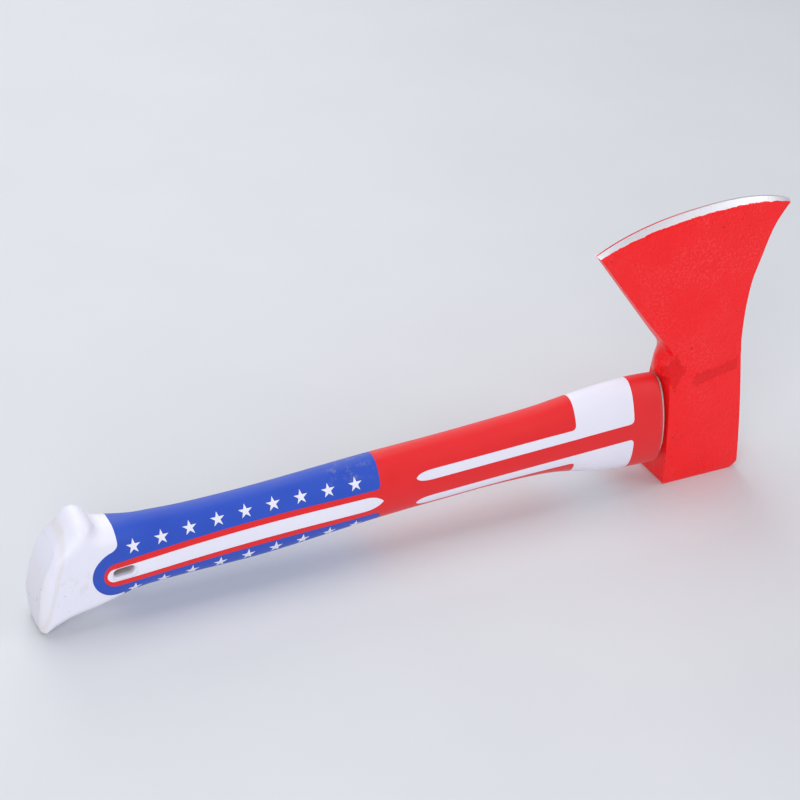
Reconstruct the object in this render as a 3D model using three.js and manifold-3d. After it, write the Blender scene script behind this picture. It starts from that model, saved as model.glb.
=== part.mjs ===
// A one-hand fire axe: a drop-forged head on a fibreglass core, with a handle moulded round
// the core in three shots (white, red and blue).
// Millimetres. X runs from the knob to the head, Z is up, and the axe stands on its poll and
// on the toe of the knob, with the blade up. Y = 0 is the parting plane of both head and handle.
import * as THREE from "three";
import { LoftGeometry } from "three/addons/geometries/LoftGeometry.js";
import { mergeVertices } from "three/addons/utils/BufferGeometryUtils.js";
import Module from "manifold-3d";

const wasm = await Module();
wasm.setup();

// ---------------------------------------------------------------- sizes

const FIT_GAP = 0.3; // between any two pieces that touch

// Handle, measured along X from the butt of the knob.
const HANDLE_LENGTH = 296.6; // butt to shoulder
const KNOB_HALF_THICKNESS = 12.2;
const GRIP_HALF_THICKNESS = 11.8;
const WAIST_HALF_THICKNESS = 11.4;
const SHOULDER_HALF_THICKNESS = 12.8;
const GRIP_ROUNDNESS = 2.2; // exponent of the oval section: 2 is an ellipse
const GRIP_EGG = 0.25; // the oval is fuller below and narrower above by this share
const KNOB_EDGE_RADIUS = 2.8; // round the butt
const KNOB_TOE_RADIUS = 7; // round the sides of the toe
const KNOB_CREST_RADIUS = 9; // over the crest
const KNOB_BLEND = [22, 48]; // where the knob's form passes into the oval
const SHOT_THICKNESS = 1.8; // red and blue shots over the white body

// Knob outline in the XZ plane.
const BUTT_RADIUS = 60;
const BUTT_CENTRE_Z = 10;
const CREST_RADIUS = 6;
const CREST_Z = 51.6;
const TOE_RADIUS = 2.2;
const NECK = [30, 44.4];

// Lines of the handle above and below, from the knob to the shoulder.
const TOP_LINE = [NECK, [38, 43.9], [50, 43.4], [68, 42.7], [100, 43.5], [150, 46.5], [185, 48],
  [210, 49.4], [235, 51.2], [258, 54.4], [280, 56.2], [HANDLE_LENGTH, 55.6]];
const BOTTOM_LINE = [[12.8, 5.3], [21.3, 7.7], [30, 9.3], [39, 10.4], [50, 11.2], [66, 11.6],
  [100, 11.8], [150, 15.8], [185, 17.4], [210, 18.4], [235, 17.9], [249, 16], [264, 12.2],
  [280, 10], [HANDLE_LENGTH, 9.6]];

// Pattern on both flanks. It is symmetric about one line, given as X and Z.
const PATTERN_LINE = [[30, 24.6], [69, 27], [110, 28.7], [145, 29.4], [182, 30.4], [230, 32.5],
  [HANDLE_LENGTH, 35.4]];
const INLAY_HALF_WIDTH = 3.1;
const INLAY_START = 28.5;
const INLAY_TIP = 154;
const BORDER_WIDTH = 2.5;
const BLUE_START = 33.6;
const BLUE_END = 152.9;
const BLUE_BULGE_RADIUS = 11;
const CORNER_RADIUS = 2.5;
const STRIPE_HALF_WIDTH = 3.9; // red stripe between the white tails
const TAIL_WIDTH = 4.4;
const TAIL_TIP = 170.3;
const TONGUE_END = 250.8;
const WINDOW_END = 281.2;
const STAR_RADIUS = 3.3;
const STAR_WAIST = 0.4; // inner radius as a share of the outer one
const STARS_PER_ROW = 9;
const FIRST_STAR = 40.6;
const STAR_PITCH = 12.6;
const STAR_ROW_OFFSETS = [10.1, -9.4]; // from the pattern line, in side view
const STAR_TILT = THREE.MathUtils.degToRad(40); // the stars face the way the flank does

// Lanyard slot through the handle, in the inlay next to the knob.
const SLOT_LENGTH = 10;
const SLOT_HEIGHT = 4.6;
const SLOT_WALL = 2.6; // from the round end of the inlay

// Fibreglass core and the eye that it passes through.
const CORE_START = 46;
const CORE_HALF_HEIGHT = 10;
const CORE_HALF_THICKNESS = 4.5;
const CORE_START_Z = 26.4;
const CORE_RISE = THREE.MathUtils.degToRad(1.35);
const EYE_HALF_HEIGHT = 16;
const EYE_HALF_THICKNESS = 6.8;
const BEAD_LENGTH = 1.2;
const BEAD_INSET = 1.3;
const CORE_RECESS = 0.8; // below the crown face of the head
const RESIN_RECESS = 1.4;

// Head, measured from the front corner of the poll.
const HEAD_SETBACK = 5; // from the shoulder to the poll's front corner
const POLL_LENGTH = 41.8;
const POLL_HALF_THICKNESS = 12.35;
const POLL_EDGE = 0.6; // chamfer round the striking face
const POLL_HEEL_LENGTH = 3.6; // ground away at the poll's rear corner
const POLL_HEEL_HEIGHT = 3;
const FRONT_LEAN = Math.tan(THREE.MathUtils.degToRad(1.5));
const CROWN_LEAN = Math.tan(THREE.MathUtils.degToRad(5));
const CROWN_RIDGE = 1.2; // forging draft on the crown face
const FACE_RIDGE = 1.2; // forging draft on the face next to the handle
const EYE_TOP_Z = 61.5; // where the lug over the eye ends
const LUG_HEIGHT = 5;
const LUG_NOSE = 5; // how far the lug stands out at the parting plane
const NECK_HALF_THICKNESS = 8.7; // at the top of the eye
const LUG_HALF_THICKNESS = 7;
const BLADE_ROOT_Z = 68;
const HEEL = [-44.6, 123.7];
const TOE = [55.7, 134.8];
const HEEL_LINE_START = [-1.1, 67.2]; // where the straight inner edge would meet the lug
const HEEL_EDGE_DRAFT = 0.19; // ridge of the inner edge, as a share of its half-thickness
const HEEL_HALF_THICKNESS = 2.9; // the blade is thin along the inner edge
const CROWN_LINE = [[35.6, 68], [35.7, 84], [37.9, 98.6], [41.4, 108], [47.4, 124], TOE];
const EDGE_BULGE = 8.9; // height of the edge curve over its chord
const GRIND_HEIGHT = 2.5;
const GRIND_HALF_THICKNESS = 2.6;
const EDGE_HALF_THICKNESS = 0.3;

// ---------------------------------------------------------------- helpers

// A closed geometry as a manifold-3d solid.
function solid(geometry) {
  const bare = geometry.index ? geometry.toNonIndexed() : geometry.clone();
  bare.deleteAttribute("normal");
  bare.deleteAttribute("uv");
  const merged = mergeVertices(bare, 1e-4);
  return new wasm.Manifold(new wasm.Mesh({
    numProp: 3,
    vertProperties: merged.attributes.position.array,
    triVerts: new Uint32Array(merged.index.array),
  }));
}

// A manifold-3d solid as a named mesh.
function mesh(name, body, color, roughness, metalness = 0) {
  const { vertProperties, triVerts } = body.getMesh();
  const geometry = new THREE.BufferGeometry();
  geometry.setAttribute("position", new THREE.BufferAttribute(vertProperties, 3));
  geometry.setIndex(new THREE.BufferAttribute(triVerts, 1));
  geometry.computeVertexNormals();
  const made = new THREE.Mesh(geometry, new THREE.MeshStandardMaterial({ color, roughness, metalness }));
  made.name = name;
  return made;
}

// A smooth curve through [position, value] pairs, as a function of the position.
function smooth(points) {
  const curve = new THREE.SplineCurve(points.map(([x, z]) => new THREE.Vector2(x, z)));
  const line = curve.getPoints(points.length * 12);
  return (x) => onPolyline(line, x);
}

// Height of a polyline whose points go in +X.
function onPolyline(line, x) {
  const i = THREE.MathUtils.clamp(line.findIndex((p) => p.x >= x), 1, line.length - 1);
  const [a, b] = [line[i - 1], line[i]];
  return THREE.MathUtils.mapLinear(x, a.x, b.x, a.y, b.y);
}

// A shape drawn in X and Z, carried through the full thickness of the axe.
function throughY(shape, curveSegments = 8) {
  const depth = 4 * KNOB_HALF_THICKNESS;
  const geometry = new THREE.ExtrudeGeometry(shape, { depth, bevelEnabled: false, curveSegments });
  geometry.rotateX(Math.PI / 2);
  geometry.translate(0, depth / 2, 0);
  return solid(geometry);
}

// A shape drawn in Y and Z, carried along the core's axis between two distances from the butt.
function alongCore(shape, from, to) {
  const geometry = new THREE.ExtrudeGeometry(shape, {
    depth: to - from,
    bevelEnabled: false,
    curveSegments: 20,
  });
  const axes = new THREE.Matrix4().makeBasis(
    new THREE.Vector3(0, 1, 0),
    new THREE.Vector3(0, 0, 1),
    new THREE.Vector3(1, 0, 0),
  );
  geometry.applyMatrix4(axes);
  geometry.translate(from - CORE_START, 0, 0);
  geometry.rotateY(-CORE_RISE);
  geometry.translate(CORE_START, 0, CORE_START_Z);
  return solid(geometry);
}

function oval(halfThickness, halfHeight) {
  return new THREE.Shape().absellipse(0, 0, halfThickness, halfHeight, 0, 2 * Math.PI);
}

// ---------------------------------------------------------------- handle form

// Centre of a small circle that touches the butt's arc from inside, at height z.
function insideButt(radius, z) {
  return BUTT_RADIUS - Math.sqrt((BUTT_RADIUS - radius) ** 2 - (z - BUTT_CENTRE_Z) ** 2);
}

// Upper line of the handle, from the butt over the crest of the knob to the shoulder.
function topLine() {
  const crestZ = CREST_Z - CREST_RADIUS;
  const crestX = insideButt(CREST_RADIUS, crestZ);
  const touch = Math.atan2(crestZ - BUTT_CENTRE_Z, crestX - BUTT_RADIUS);
  const path = new THREE.Path();
  path.absarc(BUTT_RADIUS, BUTT_CENTRE_Z, BUTT_RADIUS, Math.PI, touch, true);
  path.absarc(crestX, crestZ, CREST_RADIUS, touch, THREE.MathUtils.degToRad(20), true);
  path.quadraticCurveTo(crestX + CREST_RADIUS + 0.6, NECK[1] + 0.2, ...NECK);
  path.splineThru(TOP_LINE.slice(1).map(([x, z]) => new THREE.Vector2(x, z)));
  return path.getPoints(24);
}

// Lower line of the handle, from the butt round the toe of the knob to the shoulder.
function bottomLine() {
  const toeX = insideButt(TOE_RADIUS, TOE_RADIUS);
  const touch = Math.atan2(TOE_RADIUS - BUTT_CENTRE_Z, toeX - BUTT_RADIUS);
  const path = new THREE.Path();
  path.absarc(BUTT_RADIUS, BUTT_CENTRE_Z, BUTT_RADIUS, Math.PI, touch, false);
  path.absarc(toeX, TOE_RADIUS, TOE_RADIUS, touch, THREE.MathUtils.degToRad(-62), false);
  path.splineThru(BOTTOM_LINE.map(([x, z]) => new THREE.Vector2(x, z)));
  return path.getPoints(24);
}

const top = topLine();
const bottom = bottomLine();
const outline = [...top, ...bottom].filter((p) => p.x < KNOB_BLEND[1] + KNOB_CREST_RADIUS);
const halfThickness = smooth([[0, KNOB_HALF_THICKNESS], [40, KNOB_HALF_THICKNESS],
  [80, GRIP_HALF_THICKNESS], [140, GRIP_HALF_THICKNESS], [185, WAIST_HALF_THICKNESS],
  [240, GRIP_HALF_THICKNESS], [HANDLE_LENGTH, SHOULDER_HALF_THICKNESS]]);
const patternZ = smooth(PATTERN_LINE);

// Half-thickness of the knob at a height: full on the flank, and rounded off near its outline.
function knobHalfThickness(x, z) {
  const toe = (KNOB_TOE_RADIUS - KNOB_EDGE_RADIUS) * (1 - THREE.MathUtils.smoothstep(z, 2, 14));
  const crest = (KNOB_CREST_RADIUS - KNOB_EDGE_RADIUS) * THREE.MathUtils.smoothstep(z, 34, 48);
  const radius = KNOB_EDGE_RADIUS + toe + crest;
  const nearest = Math.min(...outline.map((p) => Math.hypot(p.x - x, p.y - z)));
  const inward = Math.max(radius - nearest, 0);
  return KNOB_HALF_THICKNESS - radius + Math.sqrt(radius ** 2 - inward ** 2);
}

// Section of the handle at x, with its outside moved in by inset.
function handleSection(x, inset) {
  const upper = onPolyline(top, x);
  const lower = onPolyline(bottom, x);
  const middle = (upper + lower) / 2;
  const halfHeight = (upper - lower) / 2;
  const blend = THREE.MathUtils.smoothstep(x, ...KNOB_BLEND);
  const points = [];
  const sides = 32;
  for (let i = 0; i < sides; i++) {
    const angle = (2 * Math.PI * i) / sides;
    const [c, s] = [Math.cos(angle), Math.sin(angle)];
    const level = Math.sign(s) * Math.abs(s) ** (2 / GRIP_ROUNDNESS);
    const oval = Math.abs(c) ** (2 / GRIP_ROUNDNESS) * halfThickness(x) * (1 - GRIP_EGG * level);
    const knob = blend < 1 ? knobHalfThickness(x, middle + halfHeight * level) : 0;
    const half = THREE.MathUtils.lerp(knob, oval, blend);
    const onFlank = Math.abs(c) > 1e-6;
    const y = onFlank ? Math.sign(c) * half * (1 - inset / halfThickness(x)) : 0;
    points.push(new THREE.Vector3(x, y, middle + (halfHeight - inset) * level));
  }
  return points;
}

// The handle's form between two stations, with its outside moved in by inset.
function handleForm(inset, from, to) {
  const stations = [];
  const knobSteps = 18;
  for (let i = 0; i < knobSteps; i++) stations.push(0.15 + NECK[0] * (i / knobSteps) ** 1.6);
  const shaftSteps = 22;
  for (let i = 0; i <= shaftSteps; i++) {
    stations.push(THREE.MathUtils.lerp(NECK[0] + 1, HANDLE_LENGTH, i / shaftSteps));
  }
  const used = [from, ...stations.filter((x) => x > from + 0.1 && x < to - 0.1), to];
  const sections = used.map((x) => handleSection(x, inset));
  return solid(new LoftGeometry(sections, { capStart: true, capEnd: true }));
}

// ---------------------------------------------------------------- pattern zones

// Points that follow the pattern's centre line at an offset.
function alongPattern(from, to, offset) {
  const steps = Math.ceil(Math.abs(to - from) / 12);
  const points = [];
  for (let i = 0; i <= steps; i++) {
    const x = THREE.MathUtils.lerp(from, to, i / steps);
    points.push(new THREE.Vector2(x, patternZ(x) + offset));
  }
  return points;
}

function lineThrough(shape, points) {
  points.forEach((p) => shape.lineTo(p.x, p.y));
}

// White strip along the grip, with a round end at the knob and a tip towards the head.
function inlayZone(grow) {
  const half = INLAY_HALF_WIDTH + grow;
  const centreX = INLAY_START + INLAY_HALF_WIDTH;
  const taper = INLAY_TIP - 3 * INLAY_HALF_WIDTH;
  const shape = new THREE.Shape();
  shape.absarc(centreX, patternZ(centreX), half, Math.PI / 2, (3 * Math.PI) / 2, false);
  lineThrough(shape, alongPattern(centreX, taper, -half));
  shape.quadraticCurveTo(INLAY_TIP - 3, patternZ(INLAY_TIP) - half, INLAY_TIP + grow, patternZ(INLAY_TIP));
  shape.quadraticCurveTo(INLAY_TIP - 3, patternZ(INLAY_TIP) + half, taper, patternZ(taper) + half);
  lineThrough(shape, alongPattern(taper, centreX, half));
  return shape;
}

// All that is red before the white windows are left out: the border round the inlay and,
// from the end of the blue, the whole sleeve.
function redZone(grow) {
  const half = INLAY_HALF_WIDTH + BORDER_WIDTH + grow;
  const centreX = INLAY_START + INLAY_HALF_WIDTH;
  const endX = BLUE_END - grow;
  const reach = 2 * CREST_Z;
  const shape = new THREE.Shape();
  shape.absarc(centreX, patternZ(centreX), half, Math.PI / 2, (3 * Math.PI) / 2, false);
  lineThrough(shape, alongPattern(centreX, endX - CORNER_RADIUS, -half));
  shape.quadraticCurveTo(endX, patternZ(endX) - half, endX, patternZ(endX) - half - CORNER_RADIUS);
  shape.lineTo(endX, -reach);
  shape.lineTo(HANDLE_LENGTH + 1, -reach);
  shape.lineTo(HANDLE_LENGTH + 1, reach);
  shape.lineTo(endX, reach);
  shape.lineTo(endX, patternZ(endX) + half + CORNER_RADIUS);
  shape.quadraticCurveTo(endX, patternZ(endX) + half, endX - CORNER_RADIUS, patternZ(endX) + half);
  lineThrough(shape, alongPattern(endX - CORNER_RADIUS, centreX, half));
  return shape;
}

// All that isn't the white knob: it starts with a bulge round the end of the inlay.
function gripZone(grow) {
  const radius = BLUE_BULGE_RADIUS + grow;
  const startX = BLUE_START - grow;
  const centreX = INLAY_START + INLAY_HALF_WIDTH + 1.6;
  const centreZ = patternZ(centreX) + 0.7;
  const reach = 2 * CREST_Z;
  const shape = new THREE.Shape();
  shape.moveTo(startX, reach);
  shape.lineTo(startX, centreZ + radius + CORNER_RADIUS);
  shape.quadraticCurveTo(startX, centreZ + radius, startX - CORNER_RADIUS, centreZ + radius - 0.4);
  shape.absarc(centreX, centreZ, radius, THREE.MathUtils.degToRad(112), (3 * Math.PI) / 2, false);
  shape.lineTo(startX + CORNER_RADIUS, centreZ - radius);
  shape.lineTo(startX + CORNER_RADIUS, -reach);
  shape.lineTo(HANDLE_LENGTH + 1, -reach);
  shape.lineTo(HANDLE_LENGTH + 1, reach);
  return shape;
}

// White window next to the head with its long tail, above (side 1) or below (side -1) the
// middle stripe.
function windowZone(side, grow) {
  const near = STRIPE_HALF_WIDTH - grow;
  const far = STRIPE_HALF_WIDTH + TAIL_WIDTH + grow;
  const middle = (near + far) / 2;
  const endX = WINDOW_END + grow;
  const tongueX = TONGUE_END - grow;
  const tipX = TAIL_TIP - grow;
  const reach = 2 * CREST_Z;
  const at = (x, offset) => [x, patternZ(x) + side * offset];
  const shape = new THREE.Shape();
  shape.moveTo(...at(tipX, middle));
  shape.quadraticCurveTo(...at(tipX + 1, near), ...at(tipX + 2 * TAIL_WIDTH, near));
  lineThrough(shape, alongPattern(tipX + 2 * TAIL_WIDTH, endX - CORNER_RADIUS, side * near));
  shape.quadraticCurveTo(...at(endX, near), ...at(endX, near + CORNER_RADIUS));
  shape.lineTo(...at(endX, reach));
  shape.lineTo(...at(tongueX, reach));
  shape.lineTo(...at(tongueX, far + CORNER_RADIUS));
  shape.quadraticCurveTo(...at(tongueX, far), ...at(tongueX - CORNER_RADIUS, far));
  lineThrough(shape, alongPattern(tongueX - CORNER_RADIUS, tipX + 2 * TAIL_WIDTH, side * far));
  shape.quadraticCurveTo(...at(tipX + 1, far), ...at(tipX, middle));
  return shape;
}

// Five-pointed star, one point up.
function starZone(x, z, grow) {
  const shape = new THREE.Shape();
  for (let i = 0; i < 10; i++) {
    const radius = (STAR_RADIUS + grow) * (i % 2 ? STAR_WAIST : 1);
    const angle = Math.PI / 2 + (i * Math.PI) / 5;
    const point = [x + radius * Math.cos(angle), z + radius * Math.sin(angle)];
    if (i === 0) shape.moveTo(...point);
    else shape.lineTo(...point);
  }
  return shape;
}

// Both rows of stars on both flanks, as prisms square to the surface.
function stars(grow) {
  const prisms = [];
  for (let i = 0; i < STARS_PER_ROW; i++) {
    const x = FIRST_STAR + i * STAR_PITCH;
    for (const offset of STAR_ROW_OFFSETS) {
      for (const side of [1, -1]) prisms.push(starPrism(x, offset, side, grow));
    }
  }
  return prisms.reduce((all, prism) => all.add(prism));
}

function starPrism(x, offset, side, grow) {
  const z = patternZ(x) + offset;
  const reach = SHOT_THICKNESS + STAR_RADIUS / 3;
  const geometry = new THREE.ExtrudeGeometry(starZone(0, 0, grow), {
    depth: 2 * reach,
    bevelEnabled: false,
  });
  geometry.translate(0, 0, -reach);
  geometry.rotateX(Math.PI / 2 + side * Math.sign(offset) * STAR_TILT);
  geometry.translate(x, side * flankAt(x, z), z);
  return solid(geometry);
}

// Half-thickness of the grip at a height.
function flankAt(x, z) {
  const [upper, lower] = [onPolyline(top, x), onPolyline(bottom, x)];
  const level = (2 * z - upper - lower) / (upper - lower);
  const oval = (1 - Math.abs(level) ** GRIP_ROUNDNESS) ** (1 / GRIP_ROUNDNESS);
  return halfThickness(x) * oval * (1 - GRIP_EGG * level);
}

// Everywhere that the white body reaches the surface of the grip.
function whiteZones(grow) {
  return throughY(inlayZone(grow))
    .add(throughY(windowZone(1, grow)))
    .add(throughY(windowZone(-1, grow)));
}

// ---------------------------------------------------------------- handle pieces

function lanyardSlot() {
  const radius = SLOT_HEIGHT / 2;
  const startX = INLAY_START + SLOT_WALL + radius;
  const endX = startX + SLOT_LENGTH - SLOT_HEIGHT;
  const shape = new THREE.Shape();
  shape.absarc(startX, patternZ(startX), radius, Math.PI / 2, (3 * Math.PI) / 2, false);
  shape.absarc(endX, patternZ(endX), radius, -Math.PI / 2, Math.PI / 2, false);
  return throughY(shape);
}

// Pultruded fibreglass bar, from behind the lanyard slot to the crown face of the head.
function coreBar(grow, end) {
  const bar = oval(CORE_HALF_THICKNESS + grow, CORE_HALF_HEIGHT + grow);
  return alongCore(bar, CORE_START - grow, end);
}

const form = handleForm(0, 0.15, HANDLE_LENGTH);
const bodyForm = handleForm(SHOT_THICKNESS, 20, HANDLE_LENGTH);
const overForm = handleForm(SHOT_THICKNESS - FIT_GAP, 20, HANDLE_LENGTH + 1);
const crownX = HANDLE_LENGTH + HEAD_SETBACK + POLL_LENGTH - CROWN_LEAN * CORE_START_Z;

// First shot: the white knob, and a body that comes through as inlays, windows and stars.
function handleBody() {
  const knob = form.subtract(throughY(gripZone(FIT_GAP)));
  const posts = stars(0).subtract(throughY(redZone(FIT_GAP)));
  const raised = form.intersect(whiteZones(0).add(posts));
  return knob
    .add(bodyForm)
    .add(raised)
    .subtract(coreBar(FIT_GAP, HANDLE_LENGTH + 5))
    .subtract(lanyardSlot());
}

// The thin shell that the second and third shots share.
function shell() {
  return form.subtract(overForm);
}

function redSleeve() {
  return shell()
    .intersect(throughY(redZone(-FIT_GAP)))
    .subtract(whiteZones(FIT_GAP))
    .subtract(coreBar(FIT_GAP, HANDLE_LENGTH + 5));
}

function blueGrip() {
  return shell()
    .intersect(throughY(gripZone(0)))
    .subtract(throughY(redZone(0)))
    .subtract(stars(FIT_GAP))
    .subtract(coreBar(FIT_GAP, HANDLE_LENGTH + 5));
}

// Clear adhesive that squeezed out between the shoulder and the head.
function shoulderBead() {
  const section = (x) => handleSection(HANDLE_LENGTH, BEAD_INSET).map((p) => p.clone().setX(x));
  const start = HANDLE_LENGTH + FIT_GAP;
  const ring = new LoftGeometry([section(start), section(start + BEAD_LENGTH)], {
    capStart: true,
    capEnd: true,
  });
  return solid(ring).subtract(coreBar(FIT_GAP, HANDLE_LENGTH + 5));
}

// ---------------------------------------------------------------- head

// One level of the forging: a ring with both corners of the cheek, thinner in front than
// behind, a ridge at the parting plane front and rear, and a bulged top.
function headRing({ front, rear, frontHalf, half, nose = FACE_RIDGE, lift = 0, bulge = 0 }) {
  const steps = 14;
  const nearSide = [];
  for (let i = 0; i <= steps; i++) {
    const u = i / steps;
    const z = THREE.MathUtils.lerp(front[1], rear[1], u) + bulge * edgeShape(u);
    const y = THREE.MathUtils.lerp(frontHalf, half, 1 - (1 - Math.min(u / 0.45, 1)) ** 2);
    nearSide.push(new THREE.Vector3(THREE.MathUtils.lerp(front[0], rear[0], u), -y, z));
  }
  const farSide = nearSide.map((p) => new THREE.Vector3(p.x, -p.y, p.z)).reverse();
  const ridge = (CROWN_RIDGE * half) / POLL_HALF_THICKNESS;
  const noseTip = new THREE.Vector3(front[0] - nose, 0, front[1] + lift);
  const crownTip = new THREE.Vector3(rear[0] + ridge, 0, rear[1]);
  return [noseTip, ...nearSide, crownTip, ...farSide];
}

// Height of the edge over its chord, from heel to toe: an arc with quicker ends.
function edgeShape(u) {
  return (1 - Math.abs(2 * u - 1) ** 2.4) ** 0.92;
}

// Solid part of the head, from the striking face to the lug over the eye.
function pollRings() {
  const half = smooth([[0, POLL_HALF_THICKNESS], [14, POLL_HALF_THICKNESS], [38, 11.1],
    [EYE_TOP_Z, NECK_HALF_THICKNESS]]);
  const frontHalf = smooth([[0, POLL_HALF_THICKNESS], [14, 12.1], [38, 10.4],
    [EYE_TOP_Z, LUG_HALF_THICKNESS]]);
  const level = (z, nose, lift = 0) => ({
    front: [-FRONT_LEAN * z, z],
    rear: [POLL_LENGTH - CROWN_LEAN * z, z],
    frontHalf: frontHalf(z),
    half: half(z),
    nose,
    lift,
  });
  const underLug = EYE_TOP_Z - LUG_HEIGHT;
  const struck = POLL_HALF_THICKNESS - POLL_EDGE;
  return [
    {
      front: [POLL_EDGE, 0],
      rear: [POLL_LENGTH - POLL_HEEL_LENGTH, 0],
      frontHalf: struck,
      half: struck,
      nose: 0,
    },
    { ...level(POLL_EDGE, 0), rear: [POLL_LENGTH, POLL_HEEL_HEIGHT] },
    level(14, FACE_RIDGE / 2),
    level(26, FACE_RIDGE),
    level(38, FACE_RIDGE),
    level(underLug - 1.2, FACE_RIDGE),
    level(underLug, LUG_NOSE),
    level(EYE_TOP_Z, LUG_NOSE, 2.6),
  ];
}

// Blade, from the ledge over the lug to the ground edge.
function bladeRings() {
  const crown = new THREE.SplineCurve(CROWN_LINE.map(([x, z]) => new THREE.Vector2(x, z)));
  const [startX, startZ] = HEEL_LINE_START;
  const inner = (z) => THREE.MathUtils.mapLinear(z, startZ, HEEL[1], startX, HEEL[0]);
  const frontHalf = smooth([[BLADE_ROOT_Z, LUG_HALF_THICKNESS], [75, 6.4], [84, 4.6],
    [96, 3.4], [HEEL[1], HEEL_HALF_THICKNESS]]);
  const half = smooth([[0, NECK_HALF_THICKNESS - 0.3], [0.25, 7.4], [0.5, 5.6], [0.75, 4.1],
    [1, GRIND_HALF_THICKNESS]]);
  const rings = [{
    front: [-0.8, EYE_TOP_Z + 3.2],
    rear: [POLL_LENGTH - CROWN_LEAN * 65, 65],
    frontHalf: LUG_HALF_THICKNESS,
    half: NECK_HALF_THICKNESS - 0.1,
    nose: LUG_NOSE - 0.8,
    lift: 2,
  }];
  const levels = 10;
  for (let i = 0; i <= levels; i++) {
    const t = i / levels;
    const crownPoint = crown.getPointAt(0.985 * t);
    const z = THREE.MathUtils.lerp(BLADE_ROOT_Z, HEEL[1] - 1, t);
    const lift = 2.4 * Math.max(1 - t / 0.2, 0);
    const thin = Math.min(frontHalf(z), half(t));
    const nose = HEEL_EDGE_DRAFT * thin;
    rings.push({
      front: [inner(z + lift) + nose + 0.9 * lift, z],
      rear: [crownPoint.x, crownPoint.y],
      frontHalf: thin,
      half: half(t),
      nose: nose + 0.9 * lift,
      lift,
      bulge: (EDGE_BULGE - GRIND_HEIGHT) * t ** 1.5,
    });
  }
  const edge = { frontHalf: EDGE_HALF_THICKNESS, half: EDGE_HALF_THICKNESS, nose: 0, bulge: EDGE_BULGE };
  return [...rings, { ...edge, front: HEEL, rear: TOE }];
}

function axeHead() {
  const rings = [...pollRings(), ...bladeRings()].map(headRing);
  const forging = new LoftGeometry(rings, { capStart: true, capEnd: true });
  forging.translate(HANDLE_LENGTH + HEAD_SETBACK, 0, 0);
  const eye = alongCore(oval(EYE_HALF_THICKNESS, EYE_HALF_HEIGHT), HANDLE_LENGTH - 10, crownX + 20);
  return solid(forging).subtract(eye);
}

// Epoxy that fills the eye round the core.
function eyeResin() {
  const fill = oval(EYE_HALF_THICKNESS - FIT_GAP, EYE_HALF_HEIGHT - FIT_GAP);
  const start = HANDLE_LENGTH + BEAD_LENGTH + 2 * FIT_GAP + 0.6;
  const end = crownX - RESIN_RECESS;
  return alongCore(fill, start, end).subtract(coreBar(FIT_GAP, end + 10));
}

// ---------------------------------------------------------------- assembly

const axe = new THREE.Group();
axe.add(
  mesh("axe_head", axeHead(), 0xd9101a, 0.32, 0.1),
  mesh("eye_resin", eyeResin(), 0x2a2a2c, 0.4),
  mesh("handle_core", coreBar(0, crownX - CORE_RECESS), 0xb9b48c, 0.6),
  mesh("shoulder_bead", shoulderBead(), 0xe8e4da, 0.2),
  mesh("handle_body", handleBody(), 0xe4e2ee, 0.45),
  mesh("red_sleeve", redSleeve(), 0xe2141c, 0.55),
  mesh("blue_grip", blueGrip(), 0x1f4fc4, 0.6),
);

// The frame's origin is on the ground, below the middle of the axe.
const extent = new THREE.Box3().setFromObject(axe);
axe.position.x = -(extent.min.x + extent.max.x) / 2;

export default axe;
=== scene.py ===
import math

import bpy
import numpy as np
from mathutils import Matrix, Vector
from mathutils.bvhtree import BVHTree
from mathutils.interpolate import poly_3d_calc


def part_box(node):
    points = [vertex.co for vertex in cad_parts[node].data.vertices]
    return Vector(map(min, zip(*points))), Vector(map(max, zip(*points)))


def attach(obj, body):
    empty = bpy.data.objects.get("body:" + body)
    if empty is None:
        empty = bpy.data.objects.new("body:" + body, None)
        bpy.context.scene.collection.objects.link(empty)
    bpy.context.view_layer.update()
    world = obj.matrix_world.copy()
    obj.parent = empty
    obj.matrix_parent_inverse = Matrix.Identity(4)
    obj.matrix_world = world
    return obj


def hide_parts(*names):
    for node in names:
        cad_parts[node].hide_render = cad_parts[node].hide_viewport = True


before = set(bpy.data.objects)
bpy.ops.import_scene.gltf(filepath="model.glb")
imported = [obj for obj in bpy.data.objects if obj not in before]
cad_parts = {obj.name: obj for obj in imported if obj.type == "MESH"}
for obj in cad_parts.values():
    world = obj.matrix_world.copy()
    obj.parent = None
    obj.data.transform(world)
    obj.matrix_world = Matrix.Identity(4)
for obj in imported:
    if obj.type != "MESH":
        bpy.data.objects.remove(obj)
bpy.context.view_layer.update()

# ------------------------------------------------------------------ camera, floor and light
# A long lens looks down on the near flank. The table is pale and matt, and the light comes
# from broad soft panels above, in front and behind.

MM = 0.001


def linear(hex_colour):
    """sRGB hex to a linear RGBA colour."""
    channels = [int(hex_colour[i:i + 2], 16) / 255 for i in (0, 2, 4)]
    return [c / 12.92 if c <= 0.04045 else ((c + 0.055) / 1.055) ** 2.4 for c in channels] + [1.0]


def add_node(tree, kind, sockets=None, out=0, **settings):
    """A node with its settings, and its sockets linked or set. Gives the output asked for."""
    made = tree.nodes.new(kind)
    for name, value in settings.items():
        setattr(made, name, value)
    for socket, source in (sockets or {}).items():
        if isinstance(source, bpy.types.NodeSocket):
            tree.links.new(source, made.inputs[socket])
        else:
            made.inputs[socket].default_value = source
    return made.outputs[out] if made.outputs else None


def new_material(name):
    """An empty node material and its tree."""
    made = bpy.data.materials.new(name)
    made.use_nodes = True
    made.node_tree.nodes.clear()
    return made, made.node_tree


def per_metre(size_mm):
    """Texture scale that gives a pattern of this size."""
    return 1 / (size_mm * MM)


COLOUR_A, COLOUR_B, COLOUR_OUT = 6, 7, 2  # colour sockets of a Mix node

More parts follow.
